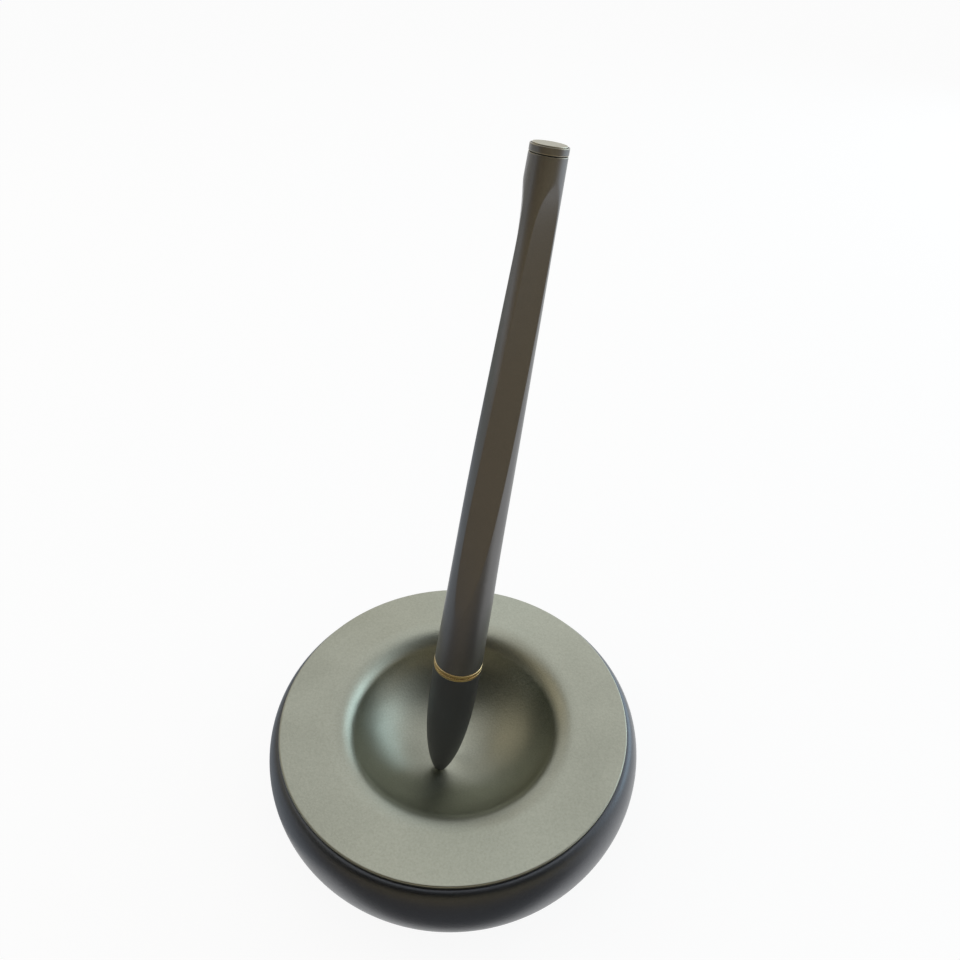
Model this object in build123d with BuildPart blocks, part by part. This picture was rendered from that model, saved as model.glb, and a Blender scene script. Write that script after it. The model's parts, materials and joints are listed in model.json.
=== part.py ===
"""Pen stand: a round weighted stand with a smooth dish, and the magnetic pen that leans in it.

Millimetres, +Z up. The origin is the centre of the foot, on the surface that the stand rests on.
Pen pieces are drawn along the pen's own axis, measured from the lowest point of its nose.
"""
import os
from math import atan2, cos, degrees, exp, radians, sin, sqrt

from build123d import *

# Stand, outside
stand_height = 27.5
plate_radius = 40.7
plate_thickness = 3.0
plate_rim_thickness = 1.0
plate_rim_overhang = 1.6
plate_edge_break = 0.4
dish_curve_radius = 26.5
dish_lip_radius = 7.5
dish_wall = 1.8
plate_seam = 0.2
shell_lip_width = 1.3
belly_radius = 43.8
belly_height = 18.6
shoulder_fullness = 0.5523
foot_proud = 1.0

# Stand, inside
shell_wall = 2.3
plate_ledge_width = 4.0
plate_ledge_drop = 2.5
shell_floor_thickness = 2.0
shell_floor_opening = 28.0
cover_radius = 30.3
cover_thickness = 2.0
cover_clearance = 0.2
ballast_inner_radius = 21.0
ballast_shell_clearance = 0.7
ballast_height = 11.0
ballast_edge_break = 0.6

# Fasteners of the stand
screw_count = 3
screw_circle = 25.0
post_radius = 3.2
plate_screw_radius = 1.4
plate_screw_head_radius = 2.7
plate_screw_head_height = 2.0
plate_screw_grip = 5.0
cover_screw_radius = 1.2
cover_screw_head_radius = 2.3
cover_screw_head_height = 1.2
cover_screw_length = 9.0
screw_recess_depth = 0.8
screw_recess_width = 1.6
thread_clearance = 0.05
hole_clearance = 0.2

# Magnet of the stand and foot
cup_radius = 9.5
cup_floor = 1.0
base_magnet_radius = 8.0
base_magnet_height = 3.0
magnet_to_dish = 0.7
magnet_clearance = 0.1
cup_locator_width = 1.4
cup_locator_height = 1.5
foot_pad_radius = 21.5
foot_pad_seat = 0.6
foot_groove_radius = 14.0
foot_groove_width = 1.2
foot_groove_depth = 0.4

# Lean of the pen, about the centre of the dish's curve
pen_lean = 10.55
pen_lean_azimuth = 40.7
seat_gap = 0.1

# Cap
cap_radius = 5.4
cap_length = 34.5
nose_length = 26.8
nose_opening = 0.75
nose_mouth_radius = 1.45
nose_cheek_radius = 3.3
nose_cheek_height = 4.2
nose_shoulder_height = 12.5
tip_ball_radius = 1.25
ball_clearance = 0.05
tip_magnet_radius = 1.75
tip_magnet_length = 6.0
tip_magnet_edge_break = 0.2
ball_to_magnet = 0.2
cap_bore_radius = 4.5
cap_neck_wall = 0.5
magnet_to_liner = 0.3
liner_radius = 3.3
liner_wall = 0.8
liner_floor = 0.8
liner_length = 11.0
liner_flange_height = 1.0
liner_clearance = 0.05
ring_height = 1.7
ring_proud = 0.05
ring_clearance = 0.03
ring_groove_width = 0.22
ring_groove_depth = 0.15
mouth_gap = 0.15

# Writing section and refill
nozzle_start = 13.5
nozzle_radius = 1.6
nozzle_end = 21.5
nozzle_end_radius = 2.1
grip_start = 25.0
grip_start_radius = 3.8
grip_clearance = 0.2
thread_radius = 3.6
thread_length = 9.5
bush_wall = 1.0
bush_clearance = 0.05
point_clearance = 0.7
point_ball_radius = 0.35
point_cone_length = 2.6
point_radius = 0.85
point_length = 12.0
refill_radius = 1.6
refill_wall = 0.4
refill_length = 101.5
refill_plug_length = 3.0
refill_plug_head = 0.6
refill_clearance = 0.1

# Barrel
barrel_length = 107.05
barrel_end_radius = 3.22
barrel_bore_radius = 2.1
bumper_length = 5.0
flat_count = 3
flat_run_in = 13.65
flat_half_angle = 40.0
flat_fade_in = 11.0
flat_fade_out = 2.5
flat_lead = 2.0
flat_lead_slope = 0.06
flat_twist = 0.66
flat_facing = -99.0
flat_facing_at = 42.65
flat_section_count = 17
collar_height = 3.5

# End cap
end_seam = 0.12
end_band_height = 1.2
end_band_break = 0.15
end_spigot_radius = 1.7
end_spigot_length = 10.0
end_disc_radius = 2.85
end_disc_thickness = 0.6
end_disc_proud = 0.2
end_disc_clearance = 0.08

# Levels of the stand
cover_top = foot_proud + cover_thickness
floor_top = cover_top + shell_floor_thickness
ballast_top = floor_top + ballast_height
base_magnet_seat = cover_top + cup_floor
dish_underside = base_magnet_seat + base_magnet_height + magnet_to_dish
dish_floor_height = dish_underside + dish_wall
plate_underside = stand_height - plate_thickness
rim_underside = stand_height - plate_rim_thickness
shell_top = rim_underside - plate_seam
foot_pad_top = foot_proud + foot_pad_seat

# Curve of the dish: a sphere that runs into a round lip
dish_centre_height = dish_floor_height + dish_curve_radius
lip_centre_height = stand_height - dish_lip_radius
lip_centre_radius = sqrt(
    (dish_curve_radius + dish_lip_radius) ** 2 - (dish_centre_height - lip_centre_height) ** 2
)
lip_share = dish_curve_radius / (dish_curve_radius + dish_lip_radius)
lip_start_radius = lip_centre_radius * lip_share
lip_start_height = dish_centre_height - (dish_centre_height - lip_centre_height) * lip_share
lip_slope = degrees(atan2(lip_centre_radius, dish_centre_height - lip_centre_height))
lip_middle_angle = radians(90 + lip_slope / 2)
dish_outer_radius = dish_curve_radius + dish_wall
underside_start = sqrt(dish_outer_radius**2 - (dish_centre_height - plate_underside) ** 2)

# Curve of the side: a shoulder that rolls outwards from the lip and down to the belly, then a round tuck
plate_spigot_radius = plate_radius - plate_rim_overhang
shell_inner_lip = plate_spigot_radius + plate_seam
shoulder_start = shell_inner_lip + shell_lip_width
shoulder_roll = shoulder_fullness * abs(belly_radius - shoulder_start)
shoulder_drop = shoulder_fullness * (shell_top - belly_height)
tuck_radius = belly_height - foot_proud
tuck_centre = belly_radius - tuck_radius
cover_recess_radius = cover_radius + cover_clearance
cover_recess_height = belly_height - sqrt(tuck_radius**2 - (cover_recess_radius - tuck_centre) ** 2)
inner_tuck_radius = tuck_radius - shell_wall
floor_outer_radius = tuck_centre + sqrt(inner_tuck_radius**2 - (belly_height - floor_top) ** 2)
ballast_outer_radius = floor_outer_radius - ballast_shell_clearance
ledge_radius = plate_radius - plate_ledge_width

# Places of the pen pieces along the pen
ring_top = cap_length + ring_height
barrel_start = ring_top + mouth_gap
barrel_top = barrel_start + barrel_length
barrel_middle = barrel_start + barrel_length / 2
tip_magnet_start = 2 * tip_ball_radius + ball_to_magnet
socket_radius = tip_ball_radius + ball_clearance
socket_mouth_radius = sqrt(socket_radius**2 - (tip_ball_radius - nose_opening) ** 2)
magnet_bore_radius = tip_magnet_radius + magnet_clearance
liner_start = tip_magnet_start + tip_magnet_length + magnet_to_liner
liner_top = liner_start + liner_length
liner_seat_radius = liner_radius + liner_clearance
refill_start = liner_start + liner_floor + point_clearance
grip_radius = cap_bore_radius - grip_clearance
bush_radius = thread_radius + thread_clearance + bush_wall
bush_start = barrel_start + 2 * mouth_gap
thread_top = bush_start + thread_length
grip_top = bush_start - mouth_gap
point_top = refill_start + point_length
refill_seat = point_top - refill_clearance
refill_top = refill_start + refill_length
bumper_start = refill_top + refill_plug_head + refill_clearance
bumper_top = bumper_start + bumper_length
flat_start = barrel_start + flat_run_in
flat_end = barrel_top - collar_height
end_band_start = barrel_top + end_seam
end_band_top = end_band_start + end_band_height
neck_radius = cap_bore_radius + cap_neck_wall
point_bore_radius = point_radius + refill_clearance
refill_bore_radius = refill_radius + refill_clearance
refill_spigot_radius = refill_radius - refill_wall - thread_clearance

# Frame of the pen: it stands square to the dish, so its axis passes through the dish's centre
pen_axis = Vector(
    sin(radians(pen_lean)) * cos(radians(pen_lean_azimuth)),
    sin(radians(pen_lean)) * sin(radians(pen_lean_azimuth)),
    cos(radians(pen_lean)),
)
pen_side = (Vector(1, 0, 0) - pen_axis * pen_axis.X).normalized()
pen_tip = Vector(0, 0, dish_centre_height) - pen_axis * (dish_curve_radius - seat_gap)
pen_line = Axis(pen_tip, pen_axis)
pen_plane = Plane(origin=pen_tip, x_dir=pen_side, z_dir=pen_axis)
pen_profile = Plane(origin=pen_tip, x_dir=pen_side, z_dir=pen_side.cross(pen_axis))


def barrel_radius(along):
    """Radius of the round barrel at a distance from the pen's tip."""
    share = (along - barrel_start) / barrel_length
    return cap_radius + (barrel_end_radius - cap_radius) * share


def flat_distance(along):
    """Distance from the pen's axis to a flat: it fades in from the round barrel and out at the collar."""
    outside = max(flat_start - along, along - flat_end)
    if outside >= 0:
        return barrel_radius(along) + outside * flat_lead_slope
    share_in = 1 - exp((flat_start - along) / flat_fade_in)
    share_out = 1 - exp((along - flat_end) / flat_fade_out)
    return barrel_radius(along) * cos(radians(flat_half_angle * share_in * share_out))


def flat_plane(along, number):
    """Cross-section plane of the pen, turned so that +X points out through one twisted flat."""
    turn = flat_facing + number * 360 / flat_count
    turn += flat_twist * (along - barrel_start - flat_facing_at)
    return pen_plane.offset(along).rotated((0, 0, turn))


os.makedirs("parts", exist_ok=True)

# Dish plate: a lid with a thin rim over the shell, a round lip and a spherical dish, and posts underneath
with BuildPart() as dish_plate:
    with BuildSketch(Plane.XZ):
        with BuildLine():
            Line((0, stand_height), (plate_radius - plate_edge_break, stand_height))
            Polyline(
                (plate_radius - plate_edge_break, stand_height),
                (plate_radius, stand_height - plate_edge_break),
                (plate_radius, rim_underside),
                (plate_spigot_radius, rim_underside),
                (plate_spigot_radius, plate_underside),
                (underside_start, plate_underside),
            )
            RadiusArc(
                (underside_start, plate_underside),
                (0, dish_centre_height - dish_outer_radius),
                dish_outer_radius,
            )
            Line((0, dish_centre_height - dish_outer_radius), (0, stand_height))
        make_face()
    revolve(axis=Axis.Z)
    with BuildSketch(Plane.XY.offset(ballast_top)):
        with PolarLocations(screw_circle, screw_count, start_angle=30):
            Circle(post_radius)
    extrude(amount=plate_underside - ballast_top)
    with BuildSketch(Plane.XZ):
        with BuildLine():
            Line((0, stand_height), (0, dish_floor_height))
            RadiusArc((0, dish_floor_height), (lip_start_radius, lip_start_height), -dish_curve_radius)
            ThreePointArc(
                (lip_start_radius, lip_start_height),
                (
                    lip_centre_radius + dish_lip_radius * cos(lip_middle_angle),
                    lip_centre_height + dish_lip_radius * sin(lip_middle_angle),
                ),
                (lip_centre_radius, stand_height),
            )
            Line((lip_centre_radius, stand_height), (0, stand_height))
        make_face()
    revolve(axis=Axis.Z, mode=Mode.SUBTRACT)
    with BuildSketch(Plane.XY.offset(ballast_top)):
        with PolarLocations(screw_circle, screw_count, start_angle=30):
            Circle(plate_screw_radius + thread_clearance)
    extrude(amount=plate_screw_grip + hole_clearance, mode=Mode.SUBTRACT)
dish_plate.part.label = "dish_plate"
export_step(dish_plate.part, "parts/dish_plate.step")

# Outer shell: lip, shoulder, belly and round tuck, with a ledge for the plate and a floor for the ballast
with BuildPart() as outer_shell:
    with BuildSketch(Plane.XZ):
        with BuildLine():
            Line((shell_inner_lip, plate_underside), (shell_inner_lip, shell_top))
            Line((shell_inner_lip, shell_top), (shoulder_start, shell_top))
            Bezier(
                (shoulder_start, shell_top),
                (shoulder_start + shoulder_roll, shell_top),
                (belly_radius, belly_height + shoulder_drop),
                (belly_radius, belly_height),
            )
            RadiusArc(
                (belly_radius, belly_height),
                (cover_recess_radius, cover_recess_height),
                tuck_radius,
            )
            Line((cover_recess_radius, cover_recess_height), (cover_recess_radius, cover_top))
            Line((cover_recess_radius, cover_top), (shell_floor_opening, cover_top))
            Line((shell_floor_opening, cover_top), (shell_floor_opening, floor_top))
            Line((shell_floor_opening, floor_top), (floor_outer_radius, floor_top))
            RadiusArc(
                (floor_outer_radius, floor_top),
                (belly_radius - shell_wall, belly_height),
                -inner_tuck_radius,
            )
            Line(
                (belly_radius - shell_wall, belly_height),
                (ledge_radius, plate_underside - plate_ledge_drop),
            )
            Line((ledge_radius, plate_underside - plate_ledge_drop), (ledge_radius, plate_underside))
            Line((ledge_radius, plate_underside), (shell_inner_lip, plate_underside))
        make_face()
    revolve(axis=Axis.Z)
outer_shell.part.label = "outer_shell"
export_step(outer_shell.part, "parts/outer_shell.step")

# Ballast ring: steel weight that the plate's screws pull up against the posts
with BuildPart() as ballast_ring:
    with BuildSketch(Plane.XY.offset(floor_top)):
        Circle(ballast_outer_radius)
        Circle(ballast_inner_radius, mode=Mode.SUBTRACT)
    extrude(amount=ballast_height)
    chamfer(ballast_ring.edges().filter_by(GeomType.CIRCLE), ballast_edge_break)
    with BuildSketch(Plane.XY.offset(floor_top)):
        with PolarLocations(screw_circle, screw_count, start_angle=30):
            Circle(plate_screw_radius + hole_clearance)
    extrude(amount=ballast_height, mode=Mode.SUBTRACT)
    with BuildSketch(Plane.XY.offset(floor_top)):
        with PolarLocations(screw_circle, screw_count, start_angle=30):
            Circle(plate_screw_head_radius + hole_clearance)
    extrude(amount=plate_screw_head_height + hole_clearance, mode=Mode.SUBTRACT)
    with BuildSketch(Plane.XY.offset(floor_top)):
        with PolarLocations(screw_circle, screw_count, start_angle=90):
            Circle(cover_screw_radius + thread_clearance)
    extrude(amount=cover_screw_length, mode=Mode.SUBTRACT)
ballast_ring.part.label = "ballast_ring"
export_step(ballast_ring.part, "parts/ballast_ring.step")

# Plate screws: three pan heads sunk in the ballast, with hexagon sockets
plate_screw_seat = floor_top + plate_screw_head_height + hole_clearance
with BuildPart() as plate_screws:
    with BuildSketch(Plane.XY.offset(plate_screw_seat)):
        with PolarLocations(screw_circle, screw_count, start_angle=30):
            Circle(plate_screw_head_radius)
    extrude(amount=-plate_screw_head_height)
    with BuildSketch(Plane.XY.offset(plate_screw_seat)):
        with PolarLocations(screw_circle, screw_count, start_angle=30):
            Circle(plate_screw_radius)
    extrude(amount=ballast_top + plate_screw_grip - plate_screw_seat)
    with BuildSketch(Plane.XY.offset(plate_screw_seat - plate_screw_head_height)):
        with PolarLocations(screw_circle, screw_count, start_angle=30):
            RegularPolygon(screw_recess_width, 6)
    extrude(amount=screw_recess_depth, mode=Mode.SUBTRACT)
plate_screws.part.label = "plate_screws"
export_step(plate_screws.part, "parts/plate_screws.step")

# Bottom cover: disc with a pocket for the foot, countersunk holes and a locating ring for the magnet cup
with BuildPart() as bottom_cover:
    with BuildSketch(Plane.XY.offset(foot_proud)):
        Circle(cover_radius)
    extrude(amount=cover_thickness)
    with BuildSketch(Plane.XY.offset(cover_top)):
        Circle(cup_radius + magnet_clearance + cup_locator_width)
        Circle(cup_radius + magnet_clearance, mode=Mode.SUBTRACT)
    extrude(amount=cup_locator_height)
    with BuildSketch(Plane.XY.offset(foot_proud)):
        Circle(foot_pad_radius + cover_clearance)
    extrude(amount=foot_pad_seat, mode=Mode.SUBTRACT)
    with Locations(Plane.XY.offset(foot_proud)):
        with PolarLocations(screw_circle, screw_count, start_angle=90):
            Cylinder(
                cover_screw_radius + hole_clearance,
                cover_thickness,
                align=(Align.CENTER, Align.CENTER, Align.MIN),
                mode=Mode.SUBTRACT,
            )
            Cone(
                cover_screw_head_radius + hole_clearance,
                cover_screw_radius + hole_clearance,
                cover_screw_head_height + hole_clearance,
                align=(Align.CENTER, Align.CENTER, Align.MIN),
                mode=Mode.SUBTRACT,
            )
bottom_cover.part.label = "bottom_cover"
export_step(bottom_cover.part, "parts/bottom_cover.step")

# Cover screws: three countersunk screws that hold the cover to the ballast
with BuildPart() as cover_screws:
    with Locations(Plane.XY.offset(foot_proud + thread_clearance)):
        with PolarLocations(screw_circle, screw_count, start_angle=90):
            Cone(
                cover_screw_head_radius,
                cover_screw_radius,
                cover_screw_head_height,
                align=(Align.CENTER, Align.CENTER, Align.MIN),
            )
            Cylinder(cover_screw_radius, cover_screw_length, align=(Align.CENTER, Align.CENTER, Align.MIN))
    with BuildSketch(Plane.XY.offset(foot_proud + thread_clearance)):
        with PolarLocations(screw_circle, screw_count, start_angle=90):
            RegularPolygon(screw_recess_width / 2, 6)
    extrude(amount=screw_recess_depth, mode=Mode.SUBTRACT)
cover_screws.part.label = "cover_screws"
export_step(cover_screws.part, "parts/cover_screws.step")

# Magnet cup: steel cup that turns the magnet's pull upwards
with BuildPart() as magnet_cup:
    with BuildSketch(Plane.XY.offset(cover_top)):
        Circle(cup_radius)
    extrude(amount=cup_floor + base_magnet_height)
    with BuildSketch(Plane.XY.offset(base_magnet_seat)):
        Circle(base_magnet_radius + magnet_clearance)
    extrude(amount=base_magnet_height, mode=Mode.SUBTRACT)
magnet_cup.part.label = "magnet_cup"
export_step(magnet_cup.part, "parts/magnet_cup.step")

# Base magnet: disc that lies loose in its cup
with BuildPart() as base_magnet:
    with BuildSketch(Plane.XY.offset(base_magnet_seat)):
        Circle(base_magnet_radius)
    extrude(amount=base_magnet_height)
base_magnet.part.label = "base_magnet"
export_step(base_magnet.part, "parts/base_magnet.step")

# Foot pad: silicone disc with one ring groove
with BuildPart() as foot_pad:
    with BuildSketch(Plane.XY):
        Circle(foot_pad_radius)
    extrude(amount=foot_pad_top)
    with BuildSketch(Plane.XY):
        Circle(foot_groove_radius + foot_groove_width)
        Circle(foot_groove_radius, mode=Mode.SUBTRACT)
    extrude(amount=foot_groove_depth, mode=Mode.SUBTRACT)
foot_pad.part.label = "foot_pad"
export_step(foot_pad.part, "parts/foot_pad.step")

# Tip ball: the steel ball that the pen stands on
with BuildPart() as tip_ball:
    with Locations(pen_plane.offset(tip_ball_radius)):
        Sphere(tip_ball_radius)
tip_ball.part.label = "tip_ball"
export_step(tip_ball.part, "parts/tip_ball.step")

# Tip magnet: rod behind the ball, with broken edges
with BuildPart() as tip_magnet:
    with BuildSketch(pen_plane.offset(tip_magnet_start)):
        Circle(tip_magnet_radius)
    extrude(amount=tip_magnet_length)
    chamfer(tip_magnet.edges().filter_by(GeomType.CIRCLE), tip_magnet_edge_break)
tip_magnet.part.label = "tip_magnet"
export_step(tip_magnet.part, "parts/tip_magnet.step")

# Cap: bullet nose, straight sleeve and a thin neck that carries the mouth band
with BuildPart() as cap:
    with BuildSketch(pen_profile):
        with BuildLine():
            Bezier(
                (nose_mouth_radius, nose_opening),
                (nose_cheek_radius, nose_cheek_height),
                (cap_radius, nose_shoulder_height),
                (cap_radius, nose_length),
            )
            Polyline(
                (cap_radius, nose_length),
                (cap_radius, cap_length),
                (neck_radius, cap_length),
                (neck_radius, ring_top),
                (cap_bore_radius, ring_top),
                (cap_bore_radius, liner_top),
                (liner_seat_radius, liner_top),
                (liner_seat_radius, liner_start),
                (magnet_bore_radius, liner_start),
                (magnet_bore_radius, tip_magnet_start),
                (socket_radius, tip_magnet_start),
                (socket_radius, tip_ball_radius),
            )
            RadiusArc((socket_radius, tip_ball_radius), (socket_mouth_radius, nose_opening), socket_radius)
            Line((socket_mouth_radius, nose_opening), (nose_mouth_radius, nose_opening))
        make_face()
    revolve(axis=pen_line)
cap.part.label = "cap"
export_step(cap.part, "parts/cap.step")

# Cap liner: flanged inner cup that closes round the writing point
with BuildPart() as cap_liner:
    with BuildSketch(pen_plane.offset(liner_start)):
        Circle(liner_radius)
    extrude(amount=liner_length)
    with BuildSketch(pen_plane.offset(liner_top)):
        Circle(cap_bore_radius - liner_clearance)
    extrude(amount=liner_flange_height)
    with BuildSketch(pen_plane.offset(liner_start + liner_floor)):
        Circle(liner_radius - liner_wall)
    extrude(amount=liner_length + liner_flange_height - liner_floor, mode=Mode.SUBTRACT)
cap_liner.part.label = "cap_liner"
export_step(cap_liner.part, "parts/cap_liner.step")

# Trim ring: mouth band on the cap's neck, split into two bands by a fine groove
with BuildPart() as trim_ring:
    with BuildSketch(pen_plane.offset(cap_length)):
        Circle(cap_radius + ring_proud)
        Circle(neck_radius + ring_clearance, mode=Mode.SUBTRACT)
    extrude(amount=ring_height)
    with BuildSketch(pen_plane.offset(cap_length + (ring_height - ring_groove_width) / 2)):
        Circle(cap_radius + ring_proud)
        Circle(cap_radius + ring_proud - ring_groove_depth, mode=Mode.SUBTRACT)
    extrude(amount=ring_groove_width, mode=Mode.SUBTRACT)
trim_ring.part.label = "trim_ring"
export_step(trim_ring.part, "parts/trim_ring.step")

# Writing section: nozzle, grip and threaded spigot in one turned piece
with BuildPart() as writing_section:
    with BuildSketch(pen_profile):
        with BuildLine():
            Polyline(
                (point_bore_radius, nozzle_start),
                (nozzle_radius, nozzle_start),
                (nozzle_end_radius, nozzle_end),
                (grip_start_radius, grip_start),
                (grip_radius, cap_length),
                (grip_radius, grip_top),
                (thread_radius, grip_top),
                (thread_radius, thread_top),
                (refill_bore_radius, thread_top),
                (refill_bore_radius, refill_seat),
                (point_bore_radius, refill_seat),
                close=True,
            )
        make_face()
    revolve(axis=pen_line)
writing_section.part.label = "writing_section"
export_step(writing_section.part, "parts/writing_section.step")

# Refill point: needle with a writing ball, plugged into the ink tube
with BuildPart() as refill_point:
    with BuildSketch(pen_profile):
        with BuildLine():
            Polyline(
                (0, refill_start),
                (point_ball_radius, refill_start),
                (point_radius, refill_start + point_cone_length),
                (point_radius, point_top),
                (refill_spigot_radius, point_top),
                (refill_spigot_radius, point_top + refill_plug_length),
                (0, point_top + refill_plug_length),
                close=True,
            )
        make_face()
    revolve(axis=pen_line)
refill_point.part.label = "refill_point"
export_step(refill_point.part, "parts/refill_point.step")

# Refill tube
with BuildPart() as refill_tube:
    with BuildSketch(pen_plane.offset(point_top)):
        Circle(refill_radius)
        Circle(refill_radius - refill_wall, mode=Mode.SUBTRACT)
    extrude(amount=refill_top - point_top)
refill_tube.part.label = "refill_tube"
export_step(refill_tube.part, "parts/refill_tube.step")

# Refill plug: vent plug with a thin head
with BuildPart() as refill_plug:
    with BuildSketch(pen_plane.offset(refill_top - refill_plug_length)):
        Circle(refill_spigot_radius)
    extrude(amount=refill_plug_length)
    with BuildSketch(pen_plane.offset(refill_top)):
        Circle(refill_radius)
    extrude(amount=refill_plug_head)
refill_plug.part.label = "refill_plug"
export_step(refill_plug.part, "parts/refill_plug.step")

# Refill bumper: rubber stop at the end of the barrel's bore
with BuildPart() as refill_bumper:
    with BuildSketch(pen_plane.offset(bumper_start)):
        Circle(barrel_bore_radius - refill_clearance)
    extrude(amount=bumper_length)
refill_bumper.part.label = "refill_bumper"
export_step(refill_bumper.part, "parts/refill_bumper.step")

# Thread bush: brass bush set in the barrel's mouth
with BuildPart() as thread_bush:
    with BuildSketch(pen_plane.offset(bush_start)):
        Circle(bush_radius)
        Circle(thread_radius + thread_clearance, mode=Mode.SUBTRACT)
    extrude(amount=thread_length)
thread_bush.part.label = "thread_bush"
export_step(thread_bush.part, "parts/thread_bush.step")

# Barrel: long taper with three twisted flats that fade in above the band and fade out under the collar
with BuildPart() as barrel:
    with BuildSketch(pen_profile):
        with BuildLine():
            Line((0, barrel_start), (cap_radius, barrel_start))
            Bezier(
                (cap_radius, barrel_start),
                (barrel_radius(barrel_middle), barrel_middle),
                (barrel_end_radius, barrel_top),
            )
            Line((barrel_end_radius, barrel_top), (0, barrel_top))
            Line((0, barrel_top), (0, barrel_start))
        make_face()
    revolve(axis=pen_line)
    for flat_number in range(flat_count):
        for section_number in range(flat_section_count):
            section_share = (1 - cos(radians(180 * section_number / (flat_section_count - 1)))) / 2
            along_pen = flat_start - flat_lead + section_share * (flat_end - flat_start + 2 * flat_lead)
            with BuildSketch(flat_plane(along_pen, flat_number)):
                with Locations((flat_distance(along_pen), 0)):
                    Rectangle(cap_radius, 2 * cap_radius, align=(Align.MIN, Align.CENTER))
        loft(mode=Mode.SUBTRACT)
    with BuildSketch(pen_plane.offset(barrel_start)):
        Circle(bush_radius + bush_clearance)
    extrude(amount=thread_top - barrel_start, mode=Mode.SUBTRACT)
    with BuildSketch(pen_plane.offset(barrel_start)):
        Circle(barrel_bore_radius)
    extrude(amount=bumper_top - barrel_start, mode=Mode.SUBTRACT)
    with BuildSketch(pen_plane.offset(barrel_top)):
        Circle(end_spigot_radius + bush_clearance)
    extrude(amount=-end_spigot_length, mode=Mode.SUBTRACT)
barrel.part.label = "barrel"
export_step(barrel.part, "parts/barrel.step")

# End plug: narrow band on a spigot, with a pocket for the disc
with BuildPart() as end_plug:
    with BuildSketch(pen_plane.offset(end_band_start)):
        Circle(barrel_end_radius)
    extrude(amount=end_band_height)
    chamfer(end_plug.edges().filter_by(GeomType.CIRCLE), end_band_break)
    with BuildSketch(pen_plane.offset(end_band_start)):
        Circle(end_spigot_radius)
    extrude(amount=-(end_spigot_length + end_seam - hole_clearance))
    with BuildSketch(pen_plane.offset(end_band_top)):
        Circle(end_disc_radius + end_disc_clearance)
    extrude(amount=end_disc_proud - end_disc_thickness, mode=Mode.SUBTRACT)
end_plug.part.label = "end_plug"
export_step(end_plug.part, "parts/end_plug.step")

# End disc: pale disc set in the end plug
with BuildPart() as end_disc:
    with BuildSketch(pen_plane.offset(end_band_top + end_disc_proud)):
        Circle(end_disc_radius)
    extrude(amount=-end_disc_thickness)
end_disc.part.label = "end_disc"
export_step(end_disc.part, "parts/end_disc.step")
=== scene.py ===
"""Dressed scene of the pen stand: the turned stand with its dish, and the pen that leans in it.

Outlines are in millimetres, as (radius, height) pairs about the axis of the stand or of the pen, and are
scaled to metres when they are spun. Pen heights are measured along the pen from the lowest point of its
nose.
"""
import json
import logging
import math
from dataclasses import dataclass, field
from enum import Enum

import bmesh
import bpy
from mathutils import Matrix, Quaternion, Vector


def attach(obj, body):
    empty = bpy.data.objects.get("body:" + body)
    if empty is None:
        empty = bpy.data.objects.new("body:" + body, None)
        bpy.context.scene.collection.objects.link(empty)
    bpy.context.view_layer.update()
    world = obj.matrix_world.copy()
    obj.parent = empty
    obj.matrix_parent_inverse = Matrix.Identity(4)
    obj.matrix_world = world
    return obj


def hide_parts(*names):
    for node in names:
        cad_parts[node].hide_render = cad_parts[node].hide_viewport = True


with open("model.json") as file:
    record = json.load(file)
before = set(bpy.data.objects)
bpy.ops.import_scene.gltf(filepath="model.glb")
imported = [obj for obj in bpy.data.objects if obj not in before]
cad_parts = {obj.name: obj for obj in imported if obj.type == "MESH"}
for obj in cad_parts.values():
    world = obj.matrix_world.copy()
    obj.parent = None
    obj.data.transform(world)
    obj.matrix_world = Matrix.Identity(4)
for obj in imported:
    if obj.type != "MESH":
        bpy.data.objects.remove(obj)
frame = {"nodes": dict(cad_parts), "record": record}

MM = 0.001
WELD = MM * 1e-4
SHARP_ANGLE = math.radians(40)
BALL_RADIUS = 1.25
EDGE_MARK = "edge"
Colour = tuple[float, float, float]
Place = tuple[float, float, float]
Point = tuple[float, float]

log = logging.getLogger("pen_stand")


class Lay(Enum):
    """Axis that a finish follows: the stand's upright axis or the pen's leaning one."""

    STAND = "stand"
    PEN = "pen"


class Texture(Enum):
    """How a surface was finished."""

    BLASTED = "blasted"
    TURNED = "turned"
    MOULDED = "moulded"


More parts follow.
